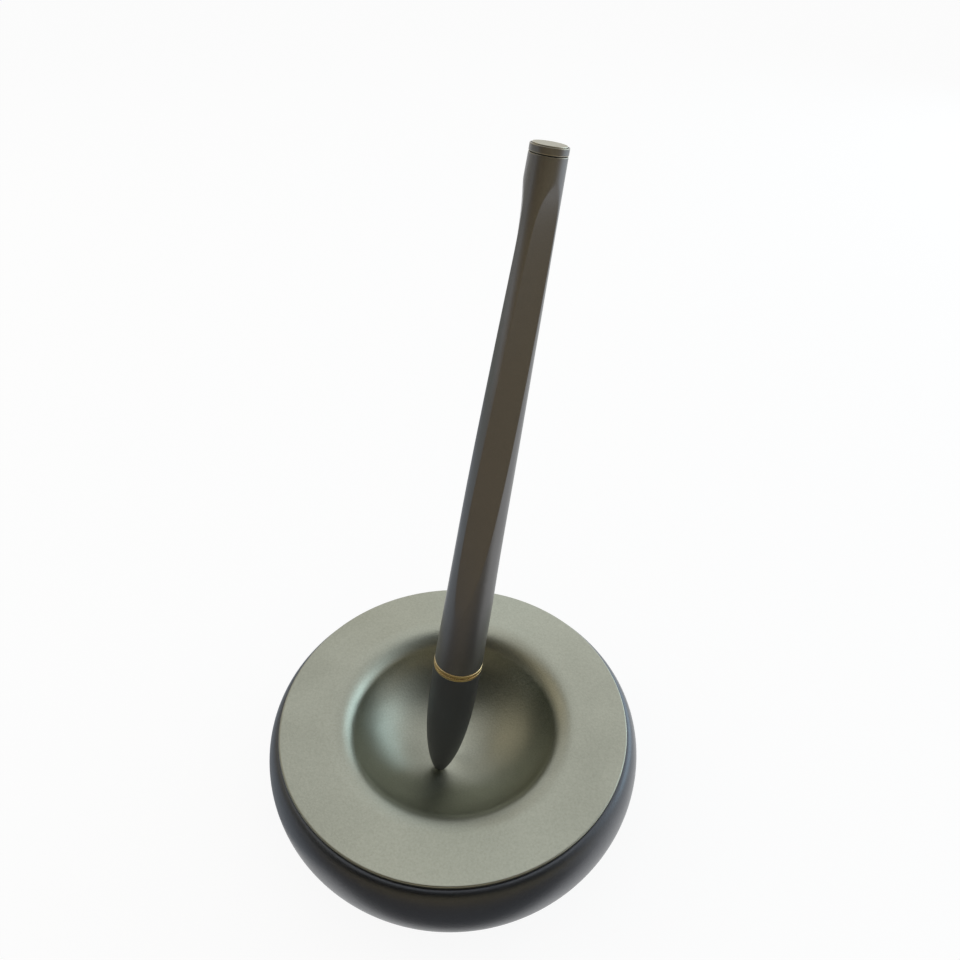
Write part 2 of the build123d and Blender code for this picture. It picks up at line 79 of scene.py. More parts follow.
class Outline:
    """Half section of a turned piece, drawn corner by corner."""

    BREAK_STEPS = 5
    BREAK_SHARE = 0.4
    GUARD = 1.2

    def __init__(self) -> None:
        """Start with no corners."""
        self.corners: list[tuple[Vector, float]] = []

    def to(self, radius: float, height: float, fillet: float = 0.0) -> "Outline":
        """Add a corner.

        Args:
            radius: Distance from the axis in millimetres.
            height: Height along the axis in millimetres.
            fillet: Radius of the edge break at this corner, 0 for none.

        Returns:
            The outline, for the next corner.
        """
        self.corners.append((Vector((radius, height)), fillet))
        return self

    def arc(self, centre: Point, radius: float, start: float, end: float, steps: int) -> "Outline":
        """Add a round stretch.

        Args:
            centre: Centre of the arc.
            radius: Radius of the arc.
            start: First angle in degrees, 0 pointing away from the axis.
            end: Last angle in degrees.
            steps: Number of chords.

        Returns:
            The outline, for the next corner.
        """
        for step in range(steps + 1):
            angle = math.radians(start + (end - start) * step / steps)
            self.to(centre[0] + radius * math.cos(angle), centre[1] + radius * math.sin(angle))
        return self

    def curve(self, first: Point, second: Point, third: Point, last: Point, steps: int) -> "Outline":
        """Add a cubic curve from its four control points.

        Args:
            first: Start of the curve.
            second: Control point that the curve leaves towards.
            third: Control point that the curve arrives from.
            last: End of the curve.
            steps: Number of chords.

        Returns:
            The outline, for the next corner.
        """
        a, b, c, d = (Vector(point) for point in (first, second, third, last))
        for step in range(steps + 1):
            t = step / steps
            s = 1 - t
            spot = a * s**3 + b * (3 * s * s * t) + c * (3 * s * t * t) + d * t**3
            self.to(spot.x, spot.y)
        return self

    def points(self) -> list[tuple[Vector, float]]:
        """Work out the outline's points, with each filleted corner rounded and guarded on both sides.

        Returns:
            Points in order, each with 1 on an edge break and 0 elsewhere.
        """
        made: list[tuple[Vector, float]] = []
        count = len(self.corners)
        for number, (corner, fillet) in enumerate(self.corners):
            if fillet == 0:
                made.append((corner, 0.0))
                continue
            before = self.corners[number - 1][0] - corner
            after = self.corners[(number + 1) % count][0] - corner
            half_angle = before.angle(after) / 2
            most = self.BREAK_SHARE * min(before.length, after.length)
            reach = min(fillet / math.tan(half_angle), most)
            to_enter = before.normalized() * reach
            to_leave = after.normalized() * reach
            enter = corner + to_enter
            leave = corner + to_leave
            made.append((corner + to_enter * self.GUARD, 0.0))
            for step in range(self.BREAK_STEPS + 1):
                t = step / self.BREAK_STEPS
                spot = enter * (1 - t) ** 2 + corner * (2 * t * (1 - t)) + leave * t * t
                made.append((spot, 1.0))
            made.append((corner + to_leave * self.GUARD, 0.0))
        return made

    def spun(self, steps: int) -> bmesh.types.BMesh:
        """Spin the closed outline once round the upright axis.

        Args:
            steps: Number of segments in the full turn.

        Returns:
            A closed mesh in metres, with its faces outwards and its edge breaks marked.
        """
        mesh = bmesh.new()
        mark = mesh.verts.layers.float.new(EDGE_MARK)
        verts = []
        for spot, on_edge in self.points():
            vert = mesh.verts.new((spot.x * MM, 0, spot.y * MM))
            vert[mark] = on_edge
            verts.append(vert)
        edges = [mesh.edges.new((verts[i - 1], verts[i])) for i in range(len(verts))]
        bmesh.ops.spin(
            mesh,
            geom=verts + edges,
            cent=(0, 0, 0),
            axis=(0, 0, 1),
            angle=math.tau,
            steps=steps,
            use_merge=True,
            use_duplicate=False,
        )
        bmesh.ops.remove_doubles(mesh, verts=mesh.verts, dist=WELD)
        bmesh.ops.recalc_face_normals(mesh, faces=mesh.faces)
        return mesh


@dataclass(frozen=True)
class PenFrame:
    """Place of the pen, read from the joint that it spins on."""

    joint_name: str = "pen_spin"
    ball_radius: float = BALL_RADIUS

    def matrix(self) -> Matrix:
        """Work out how an upright drawing of the pen is stood on the pen's leaning axis.

        Returns:
            Matrix with the pen's tip at its origin and the pen's axis as its upright axis.
        """
        joints = frame["record"]["behaviour"]["joints"]
        joint = next(j for j in joints if j["name"] == self.joint_name)
        axis = Vector(joint["axis"]).normalized()
        side = (Vector((1, 0, 0)) - axis * axis.x).normalized()
        tip = Vector(joint["pos_m"]) - axis * self.ball_radius * MM
        turn = Matrix((side, axis.cross(side), axis)).transposed().to_4x4()
        return Matrix.Translation(tip) @ turn


class GroupKit:
    """Shader node groups that several finishes share, each built once."""

    PIT_DETAIL = 3.0
    PIT_ROUGHNESS = 0.6
    PIT_RANGE = (0.32, 0.68)
    RING_DETAIL = 4.0
    RING_RANGE = (0.3, 0.7)
    PATCH_DETAIL = 2.0
    PATCH_DISTORTION = 0.4
    PATCH_RANGE = (0.3, 0.7)

    def __init__(self) -> None:
        """Start with no groups."""
        self.made: dict[str, bpy.types.NodeTree] = {}

    def _start(self, name: str, inputs: list[str], outputs: list[str]) -> bpy.types.NodeTree:
        """Make an empty group with its sockets.

        Args:
            name: Name of the group.
            inputs: Names of its number inputs, after the Vector input.
            outputs: Names of its number outputs.

        Returns:
            The group, with its Group Input and Group Output nodes.
        """
        tree = bpy.data.node_groups.new(name, "ShaderNodeTree")
        tree.interface.new_socket("Vector", in_out="INPUT", socket_type="NodeSocketVector")
        for label in inputs:
            tree.interface.new_socket(label, in_out="INPUT", socket_type="NodeSocketFloat")
        for label in outputs:
            tree.interface.new_socket(label, in_out="OUTPUT", socket_type="NodeSocketFloat")
        tree.nodes.new("NodeGroupInput")
        tree.nodes.new("NodeGroupOutput")
        self.made[name] = tree
        return tree

    @staticmethod
    def _spread(
        tree: bpy.types.NodeTree, value: bpy.types.NodeSocket, ends: tuple[float, float]
    ) -> bpy.types.NodeSocket:
        """Stretch the middle of a noise to the range 0 to 1.

        Args:
            tree: Group that gets the node.
            value: Noise output.
            ends: Noise values that become 0 and 1.

        Returns:
            Socket of the stretched noise.
        """
        spread = tree.nodes.new("ShaderNodeMapRange")
        for label, end in zip(("From Min", "From Max"), ends):
            spread.inputs[label].default_value = end
        tree.links.new(value, spread.inputs["Value"])
        return spread.outputs["Result"]

    def blast_grain(self) -> bpy.types.NodeTree:
        """Fine even pits of a bead-blasted or moulded surface.

        Returns:
            Group with Scale in, and Height and Fleck out.
        """
        if "blast_grain" in self.made:
            return self.made["blast_grain"]
        tree = self._start("blast_grain", ["Scale"], ["Height", "Fleck"])
        enter, leave = tree.nodes["Group Input"], tree.nodes["Group Output"]
        pits = tree.nodes.new("ShaderNodeTexNoise")
        pits.inputs["Detail"].default_value = self.PIT_DETAIL
        pits.inputs["Roughness"].default_value = self.PIT_ROUGHNESS
        tree.links.new(enter.outputs["Vector"], pits.inputs["Vector"])
        tree.links.new(enter.outputs["Scale"], pits.inputs["Scale"])
        fleck = self._spread(tree, pits.outputs["Fac"], self.PIT_RANGE)
        tree.links.new(pits.outputs["Fac"], leave.inputs["Height"])
        tree.links.new(fleck, leave.inputs["Fleck"])
        return tree

    def lathe_rings(self) -> bpy.types.NodeTree:
        """Fine rings that a lathe leaves about the upright axis, on faces and on sides alike.

        Returns:
            Group with Scale in, and Height and Fleck out.
        """
        if "lathe_rings" in self.made:
            return self.made["lathe_rings"]
        tree = self._start("lathe_rings", ["Scale"], ["Height", "Fleck"])
        enter, leave = tree.nodes["Group Input"], tree.nodes["Group Output"]
        split = tree.nodes.new("ShaderNodeSeparateXYZ")
        flat = tree.nodes.new("ShaderNodeCombineXYZ")
        reach = tree.nodes.new("ShaderNodeVectorMath")
        reach.operation = "LENGTH"
        along = tree.nodes.new("ShaderNodeMath")
        along.operation = "ADD"
        scaled = tree.nodes.new("ShaderNodeMath")
        scaled.operation = "MULTIPLY"
        rings = tree.nodes.new("ShaderNodeTexNoise")
        rings.noise_dimensions = "1D"
        rings.inputs["Scale"].default_value = 1.0
        rings.inputs["Detail"].default_value = self.RING_DETAIL
        tree.links.new(enter.outputs["Vector"], split.inputs["Vector"])
        tree.links.new(split.outputs["X"], flat.inputs["X"])
        tree.links.new(split.outputs["Y"], flat.inputs["Y"])
        tree.links.new(flat.outputs["Vector"], reach.inputs["Vector"])
        tree.links.new(reach.outputs["Value"], along.inputs[0])
        tree.links.new(split.outputs["Z"], along.inputs[1])
        tree.links.new(along.outputs["Value"], scaled.inputs[0])
        tree.links.new(enter.outputs["Scale"], scaled.inputs[1])
        tree.links.new(scaled.outputs["Value"], rings.inputs["W"])
        fleck = self._spread(tree, rings.outputs["Fac"], self.RING_RANGE)
        tree.links.new(rings.outputs["Fac"], leave.inputs["Height"])
        tree.links.new(fleck, leave.inputs["Fleck"])
        return tree

    def handling(self) -> bpy.types.NodeTree:
        """Broad soft patches where hands have polished or dulled a surface.

        Returns:
            Group with Scale in and Patch out.
        """
        if "handling" in self.made:
            return self.made["handling"]
        tree = self._start("handling", ["Scale"], ["Patch"])
        enter, leave = tree.nodes["Group Input"], tree.nodes["Group Output"]
        patches = tree.nodes.new("ShaderNodeTexNoise")
        patches.inputs["Detail"].default_value = self.PATCH_DETAIL
        patches.inputs["Distortion"].default_value = self.PATCH_DISTORTION
        tree.links.new(enter.outputs["Vector"], patches.inputs["Vector"])
        tree.links.new(enter.outputs["Scale"], patches.inputs["Scale"])
        patch = self._spread(tree, patches.outputs["Fac"], self.PATCH_RANGE)
        tree.links.new(patch, leave.inputs["Patch"])
        return tree


GROUPS = GroupKit()


@dataclass(frozen=True)
class Finish:
    """One surface finish: its colours, its gloss and the marks of how it was made."""

    slot: str
    colour: Colour
    fleck_colour: Colour
    metallic: float
    roughness: float
    texture: Texture
    lay: Lay = Lay.STAND
    # Lighter colour on the edge breaks: partly real edge wear, partly a painted highlight along the edges.
    wear_and_highlight_colour: Colour | None = None
    fleck_share: float = 0.5
    roughness_swing: float = 0.08
    grain_per_mm: float = 4.0
    grain_depth: float = 0.06
    patch_per_mm: float = 0.06
    anisotropy: float = 0.0
    specular: float = 0.5
    coat: float = 0.0
    coat_roughness: float = 0.2
    transmission: float = 0.0

    def _coordinates(self, tree: bpy.types.NodeTree) -> bpy.types.NodeSocket:
        """Object coordinates, turned to the pen's axis where the finish follows the pen.

        Args:
            tree: Node tree of the material.

        Returns:
            Vector socket for the patterns.
        """
        place = tree.nodes.new("ShaderNodeTexCoord").outputs["Object"]
        if self.lay is Lay.STAND:
            return place
        back = PenFrame().matrix().inverted()
        turn = tree.nodes.new("ShaderNodeMapping")
        turn.inputs["Location"].default_value = back.to_translation()
        turn.inputs["Rotation"].default_value = back.to_euler()
        tree.links.new(place, turn.inputs["Vector"])
        return turn.outputs["Vector"]

    @staticmethod
    def _group(
        tree: bpy.types.NodeTree, group: bpy.types.NodeTree, vector: bpy.types.NodeSocket, per_mm: float
    ) -> bpy.types.Node:
        """Place a shared group in the material.

        Args:
            tree: Node tree of the material.
            group: Group to place.
            vector: Coordinates that it reads.
            per_mm: Its pattern's repeats in a millimetre.

        Returns:
            The group's node.
        """
        node = tree.nodes.new("ShaderNodeGroup")
        node.node_tree = group
        node.inputs["Scale"].default_value = per_mm / MM
        tree.links.new(vector, node.inputs["Vector"])
        return node

    @staticmethod
    def _mixed(
        tree: bpy.types.NodeTree,
        share: bpy.types.NodeSocket,
        low: Colour | bpy.types.NodeSocket,
        high: Colour | bpy.types.NodeSocket,
    ) -> bpy.types.NodeSocket:
        """Mix two colours by a share.

        Args:
            tree: Node tree of the material.
            share: Value socket, 0 for the first colour and 1 for the second.
            low: First colour, or a socket that carries it.
            high: Second colour, or a socket that carries it.

        Returns:
            Socket of the mixed colour.
        """
        mix = tree.nodes.new("ShaderNodeMix")
        mix.data_type = "RGBA"
        tree.links.new(share, mix.inputs["Factor"])
        for label, value in (("A", low), ("B", high)):
            socket = next(s for s in mix.inputs if s.name == label and s.type == "RGBA")
            if isinstance(value, bpy.types.NodeSocket):
                tree.links.new(value, socket)
            else:
                socket.default_value = (*value, 1)
        return next(s for s in mix.outputs if s.type == "RGBA")

    @staticmethod
    def _scaled(
        tree: bpy.types.NodeTree, value: bpy.types.NodeSocket, by: float, plus: float
    ) -> bpy.types.NodeSocket:
        """Multiply a value and add to it.

        Args:
            tree: Node tree of the material.
            value: Socket of the value.
            by: Factor.
            plus: Amount that is added.

        Returns:
            Socket of the result.
        """
        node = tree.nodes.new("ShaderNodeMath")
        node.operation = "MULTIPLY_ADD"
        node.inputs[1].default_value = by
        node.inputs[2].default_value = plus
        tree.links.new(value, node.inputs[0])
        return node.outputs["Value"]

    def material(self) -> bpy.types.Material:
        """Build the finish's material, or return it where it was built before.

        Returns:
            The material, named after the finish's slot.
        """
        name = f"finish_{self.slot}"
        if name in bpy.data.materials:
            return bpy.data.materials[name]
        made = bpy.data.materials.new(name)
        made.use_nodes = True
        tree = made.node_tree
        shader = tree.nodes["Principled BSDF"]
        vector = self._coordinates(tree)
        pattern = GROUPS.lathe_rings() if self.texture is Texture.TURNED else GROUPS.blast_grain()
        grain = self._group(tree, pattern, vector, self.grain_per_mm)
        patch = self._group(tree, GROUPS.handling(), vector, self.patch_per_mm)

        share = self._scaled(tree, grain.outputs["Fleck"], self.fleck_share, 0.0)
        colour = self._mixed(tree, share, self.colour, self.fleck_colour)
        # Edge breaks take the lighter edge colour, part wear and part painted highlight.
        if self.wear_and_highlight_colour:
            edge = tree.nodes.new("ShaderNodeAttribute")
            edge.attribute_name = EDGE_MARK
            colour = self._mixed(tree, edge.outputs["Fac"], colour, self.wear_and_highlight_colour)
        tree.links.new(colour, shader.inputs["Base Color"])
        start = self.roughness - self.roughness_swing / 2
        gloss = self._scaled(tree, patch.outputs["Patch"], self.roughness_swing, start)
        tree.links.new(gloss, shader.inputs["Roughness"])
        bump = tree.nodes.new("ShaderNodeBump")
        bump.inputs["Strength"].default_value = self.grain_depth
        bump.inputs["Distance"].default_value = MM / self.grain_per_mm
        tree.links.new(grain.outputs["Height"], bump.inputs["Height"])
        tree.links.new(bump.outputs["Normal"], shader.inputs["Normal"])

        shader.inputs["Metallic"].default_value = self.metallic
        shader.inputs["Specular IOR Level"].default_value = self.specular
        shader.inputs["Coat Weight"].default_value = self.coat
        shader.inputs["Coat Roughness"].default_value = self.coat_roughness
        shader.inputs["Transmission Weight"].default_value = self.transmission
        if self.anisotropy:
            shader.inputs["Anisotropic"].default_value = self.anisotropy
            lines = tree.nodes.new("ShaderNodeTangent")
            lines.direction_type = "RADIAL"
            lines.axis = "Z"
            tree.links.new(lines.outputs["Tangent"], shader.inputs["Tangent"])
        return made


SATIN_OLIVE = Finish(
    slot="satin_olive",
    colour=(0.365, 0.377, 0.315),
    fleck_colour=(0.485, 0.5, 0.42),
    wear_and_highlight_colour=(0.385, 0.395, 0.33),
    metallic=1.0,
    roughness=0.41,
    texture=Texture.BLASTED,
    grain_per_mm=2.2,
    grain_depth=0.1,
    anisotropy=0.72,
)
# The shell is the plate's olive metal; this dark blue-grey colour is painted shade that stands in for the dark
# surroundings its side mirrors.
SHELL_PAINTED_SHADE = Finish(
    slot="shell_grey",
    colour=(0.064, 0.071, 0.083),
    fleck_colour=(0.082, 0.09, 0.105),
    wear_and_highlight_colour=(0.15, 0.156, 0.165),
    metallic=1.0,
    roughness=0.42,
    texture=Texture.BLASTED,
    grain_per_mm=2.2,
    grain_depth=0.12,
    coat=0.7,
    coat_roughness=0.4,
)
STEEL = Finish(
    slot="steel",
    colour=(0.45, 0.45, 0.44),
    fleck_colour=(0.55, 0.55, 0.54),
    metallic=1.0,
    roughness=0.35,
    texture=Texture.TURNED,
)
NICKEL = Finish(
    slot="nickel",
    colour=(0.62, 0.6, 0.55),
    fleck_colour=(0.7, 0.68, 0.63),
    metallic=1.0,
    roughness=0.2,
    texture=Texture.BLASTED,
    grain_depth=0.02,
)
COVER_BLACK = Finish(
    slot="cover_black",
    colour=(0.022, 0.022, 0.023),
    fleck_colour=(0.04, 0.04, 0.04),
    metallic=0.0,
    roughness=0.55,
    texture=Texture.MOULDED,
    grain_per_mm=2.0,
    grain_depth=0.2,
)
FOOT_RUBBER = Finish(
    slot="foot_rubber",
    colour=(0.035, 0.035, 0.036),
    fleck_colour=(0.055, 0.055, 0.055),
    metallic=0.0,
    roughness=0.75,
    texture=Texture.MOULDED,
    grain_per_mm=1.6,
    grain_depth=0.25,
    specular=0.3,
)
BALL_STEEL = Finish(
    slot="ball_steel",
    colour=(0.55, 0.55, 0.55),
    fleck_colour=(0.6, 0.6, 0.6),
    metallic=1.0,
    roughness=0.15,
    texture=Texture.BLASTED,
    grain_depth=0.01,
    roughness_swing=0.04,
)
CAP_BLACK = Finish(
    slot="cap_black",
    colour=(0.024, 0.026, 0.027),
    fleck_colour=(0.038, 0.04, 0.041),
    wear_and_highlight_colour=(0.05, 0.05, 0.05),
    metallic=0.0,
    roughness=0.42,
    texture=Texture.BLASTED,
    lay=Lay.PEN,
    grain_per_mm=4.5,
    grain_depth=0.06,
)
LINER_WHITE = Finish(
    slot="liner_white",
    colour=(0.68, 0.67, 0.63),
    fleck_colour=(0.74, 0.73, 0.7),
    metallic=0.0,
    roughness=0.5,
    texture=Texture.MOULDED,
    lay=Lay.PEN,
)
GOLD = Finish(
    slot="gold",
    colour=(0.62, 0.43, 0.17),
    fleck_colour=(0.72, 0.53, 0.25),
    wear_and_highlight_colour=(0.8, 0.63, 0.34),
    metallic=1.0,
    roughness=0.24,
    texture=Texture.TURNED,
    lay=Lay.PEN,
    grain_per_mm=9.0,
    grain_depth=0.05,
)
SECTION_BLACK = Finish(
    slot="section_black",
    colour=(0.024, 0.024, 0.025),
    fleck_colour=(0.036, 0.036, 0.037),
    wear_and_highlight_colour=(0.06, 0.06, 0.06),
    metallic=0.0,
    roughness=0.38,
    texture=Texture.TURNED,
    lay=Lay.PEN,
    grain_per_mm=6.0,
    grain_depth=0.04,
)
GUNMETAL = Finish(
    slot="gunmetal",
    colour=(0.17, 0.169, 0.17),
    fleck_colour=(0.2, 0.198, 0.199),
    wear_and_highlight_colour=(0.34, 0.32, 0.265),
    # This pale edge colour is mostly a painted highlight line at the barrel's and end cap's edges, over a
    # little wear.
    metallic=1.0,
    roughness=0.35,
    texture=Texture.BLASTED,
    lay=Lay.PEN,
    grain_per_mm=5.0,
    grain_depth=0.05,
)
PALE_END = Finish(
    slot="pale_end",
    colour=(0.38, 0.365, 0.285),
    fleck_colour=(0.44, 0.42, 0.335),
    wear_and_highlight_colour=(0.5, 0.48, 0.4),
    metallic=1.0,
    roughness=0.4,
    texture=Texture.TURNED,
    lay=Lay.PEN,
    grain_per_mm=8.0,
    grain_depth=0.05,
)
REFILL_CLEAR = Finish(
    slot="refill_clear",
    colour=(0.78, 0.8, 0.82),
    fleck_colour=(0.84, 0.86, 0.88),
    metallic=0.0,
    roughness=0.18,
    texture=Texture.MOULDED,
    lay=Lay.PEN,
    grain_depth=0.02,
    roughness_swing=0.05,
    transmission=0.6,
)
POINT_METAL = Finish(
    slot="point_metal",
    colour=(0.56, 0.54, 0.48),
    fleck_colour=(0.64, 0.62, 0.56),
    metallic=1.0,
    roughness=0.22,
    texture=Texture.TURNED,
    lay=Lay.PEN,
    grain_per_mm=10.0,
    grain_depth=0.04,
)
PLUG_GREY = Finish(
    slot="plug_grey",
    colour=(0.24, 0.24, 0.24),
    fleck_colour=(0.3, 0.3, 0.3),
    metallic=0.0,
    roughness=0.55,
    texture=Texture.MOULDED,
    lay=Lay.PEN,
)
BUMPER_RUBBER = Finish(
    slot="bumper_rubber",
    colour=(0.03, 0.03, 0.03),
    fleck_colour=(0.05, 0.05, 0.05),
    metallic=0.0,
    roughness=0.8,
    texture=Texture.MOULDED,
    lay=Lay.PEN,
    specular=0.3,
)

NODE_FINISHES: dict[str, Finish] = {
    "ballast_ring": STEEL,
    "plate_screws": STEEL,
    "magnet_cup": STEEL,
    "base_magnet": NICKEL,
    "bottom_cover": COVER_BLACK,
    "cover_screws": STEEL,
    "tip_ball": BALL_STEEL,
    "tip_magnet": NICKEL,
    "cap_liner": LINER_WHITE,
    "thread_bush": GOLD,
    "refill_tube": REFILL_CLEAR,
    "refill_point": POINT_METAL,
    "refill_plug": PLUG_GREY,
    "refill_bumper": BUMPER_RUBBER,
}


def settle(
    name: str, mesh: bmesh.types.BMesh, finish: Finish, body: str, node: str, place: Matrix | None = None
) -> bpy.types.Object:
    """Turn a finished bmesh into a piece of the object.

    Args:
        name: Name of the piece.
        mesh: Shape in metres, freed here.
        finish: Finish that dresses it.
        body: Body that it rides on.
        node: Solid that it stands for.
        place: Matrix that puts the shape in its place, none for the stand.

    Returns:
        The new object, at the origin with its place in its mesh.
    """
    if place is not None:
        bmesh.ops.transform(mesh, matrix=place, verts=mesh.verts)
    data = bpy.data.meshes.new(name)
    mesh.to_mesh(data)
    mesh.free()
    data.shade_smooth()
    data.set_sharp_from_angle(angle=SHARP_ANGLE)
    data.materials.append(finish.material())
    piece = bpy.data.objects.new(name, data)
    bpy.context.scene.collection.objects.link(piece)
    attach(piece, body)
    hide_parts(node)
    log.info("%s: %d faces, rides on %s", name, len(data.polygons), body)
    return piece


@dataclass
class Stand:
    """The weighted stand: plate with its dish, side shell and foot."""

    height: float = 27.5
    plate_radius: float = 40.7
    plate_thickness: float = 3.0
    plate_edge_break: float = 0.4
    rim_thickness: float = 1.0
    rim_overhang: float = 1.6
    rim_edge_break: float = 0.1
    dish_floor: float = 9.5
    dish_curve: float = 26.5
    dish_wall: float = 1.8
    lip_curve: float = 7.5
    seam: float = 0.2
    lip_width: float = 1.3
    lip_edge_break: float = 0.12
    belly_radius: float = 43.8
    belly_height: float = 18.6
    shoulder_fullness: float = 0.5523
    shell_wall: float = 2.3
    ledge_width: float = 4.0
    ledge_drop: float = 2.5
    foot_proud: float = 1.0
    cover_recess: float = 30.5
    cover_top: float = 3.0
    floor_top: float = 5.0
    floor_opening: float = 28.0
    post_radius: float = 3.2
    post_circle: float = 25.0
    post_count: int = 3
    post_start: float = 30.0
    post_foot: float = 16.0
    foot_radius: float = 21.5
    foot_top: float = 1.6
    foot_edge_break: float = 0.25
    groove_radius: float = 14.0
    groove_width: float = 1.2
    groove_depth: float = 0.4
    steps: int = 256
    dish_steps: int = 64
    lip_steps: int = 24
    under_steps: int = 32
    side_steps: int = 40
    inside_steps: int = 20
    post_steps: int = 32
    foot_steps: int = 128

    @property
    def spigot_radius(self) -> float:
        """Radius of the plate where it sits in the shell."""
        return self.plate_radius - self.rim_overhang

    @property
    def rim_underside(self) -> float:
        """Height of the underside of the plate's rim."""
        return self.height - self.rim_thickness

    def plate(self) -> bpy.types.Object:
        """Top plate: lid with a thin rim, round lip and spherical dish, with the screw posts under it.

        Returns:
            The piece.
        """
        centre = self.dish_floor + self.dish_curve
        lip_centre_height = self.height - self.lip_curve
        drop = centre - lip_centre_height
        lip_centre = math.sqrt((self.dish_curve + self.lip_curve) ** 2 - drop**2)
        slope = math.degrees(math.atan2(lip_centre, drop))
        underside = self.height - self.plate_thickness
        outer_curve = self.dish_curve + self.dish_wall
        mid_wall = self.dish_curve + self.dish_wall / 2
        under_angle = math.degrees(math.asin((underside - centre) / outer_curve))
        outline = Outline()
        outline.arc((0, centre), self.dish_curve, -90, slope - 90, self.dish_steps)
        lip_spot = (lip_centre, lip_centre_height)
        outline.arc(lip_spot, self.lip_curve, slope + 90, 90, self.lip_steps)
        outline.to(self.plate_radius, self.height, self.plate_edge_break)
        outline.to(self.plate_radius, self.rim_underside, self.rim_edge_break)
        outline.to(self.spigot_radius, self.rim_underside).to(self.spigot_radius, underside)
        outline.arc((0, centre), outer_curve, under_angle, -90, self.under_steps)
        mesh = outline.spun(self.steps)
        for number in range(self.post_count):
            angle = math.radians(self.post_start + 360 * number / self.post_count)
            spot = Vector((math.cos(angle), math.sin(angle), 0)) * self.post_circle
            spot.z = (self.post_foot + underside) / 2
            post = bmesh.ops.create_cone(
                mesh,
                cap_ends=True,
                segments=self.post_steps,
                radius1=self.post_radius * MM,
                radius2=self.post_radius * MM,
                depth=(underside - self.post_foot) * MM,
                matrix=Matrix.Translation(spot * MM),
            )
            for vert in post["verts"]:
                reach = min(vert.co.xy.length / MM, mid_wall)
                wall_height = centre - math.sqrt(mid_wall**2 - reach**2)
                vert.co.z = min(vert.co.z, wall_height * MM)
        return settle("plate_and_dish", mesh, SATIN_OLIVE, "stand", "dish_plate")

    def shell(self) -> bpy.types.Object:
        """Side shell: narrow lip, shoulder, belly and round tuck, hollow inside.

        Returns:
            The piece.
        """
        inner_lip = self.spigot_radius + self.seam
        shoulder = inner_lip + self.lip_width
        top = self.rim_underside - self.seam
        underside = self.height - self.plate_thickness
        tuck = self.belly_height - self.foot_proud
        tuck_centre = self.belly_radius - tuck
        recess_angle = -math.degrees(math.acos((self.cover_recess - tuck_centre) / tuck))
        inner_tuck = tuck - self.shell_wall
        floor_angle = -math.degrees(math.asin((self.belly_height - self.floor_top) / inner_tuck))
        outline = Outline()
        outline.to(inner_lip, underside).to(inner_lip, top, self.lip_edge_break)
        outline.curve(
            (shoulder, top),
            (shoulder + self.shoulder_fullness * (self.belly_radius - shoulder), top),
            (self.belly_radius, self.belly_height + self.shoulder_fullness * (top - self.belly_height)),
            (self.belly_radius, self.belly_height),
            self.side_steps,
        )
        tuck_spot = (tuck_centre, self.belly_height)
        outline.arc(tuck_spot, tuck, 0, recess_angle, self.side_steps)
        outline.to(self.cover_recess, self.cover_top).to(self.floor_opening, self.cover_top)
        outline.to(self.floor_opening, self.floor_top)
        outline.arc(tuck_spot, inner_tuck, floor_angle, 0, self.inside_steps)
        outline.to(self.plate_radius - self.ledge_width, underside - self.ledge_drop)
        outline.to(self.plate_radius - self.ledge_width, underside)
        # The shell's dark colour is painted shade on what is the plate's olive metal.
        return settle("side_shell", outline.spun(self.steps), SHELL_PAINTED_SHADE, "stand", "outer_shell")

    def foot(self) -> bpy.types.Object:
        """Foot pad with rounded edges and one ring groove.

        Returns:
            The piece.
        """
        outline = Outline().to(0, 0).to(self.groove_radius, 0, self.foot_edge_break)
        outline.to(self.groove_radius, self.groove_depth)
        outline.to(self.groove_radius + self.groove_width, self.groove_depth)
        outline.to(self.groove_radius + self.groove_width, 0, self.foot_edge_break)
        outline.to(self.foot_radius, 0, self.foot_edge_break).to(self.foot_radius, self.foot_top)
        outline.to(0, self.foot_top)
        return settle("foot", outline.spun(self.foot_steps), FOOT_RUBBER, "stand", "foot_pad")

    def build(self) -> None:
        """Build the stand's pieces in order."""
        self.plate()
        self.shell()
        self.foot()


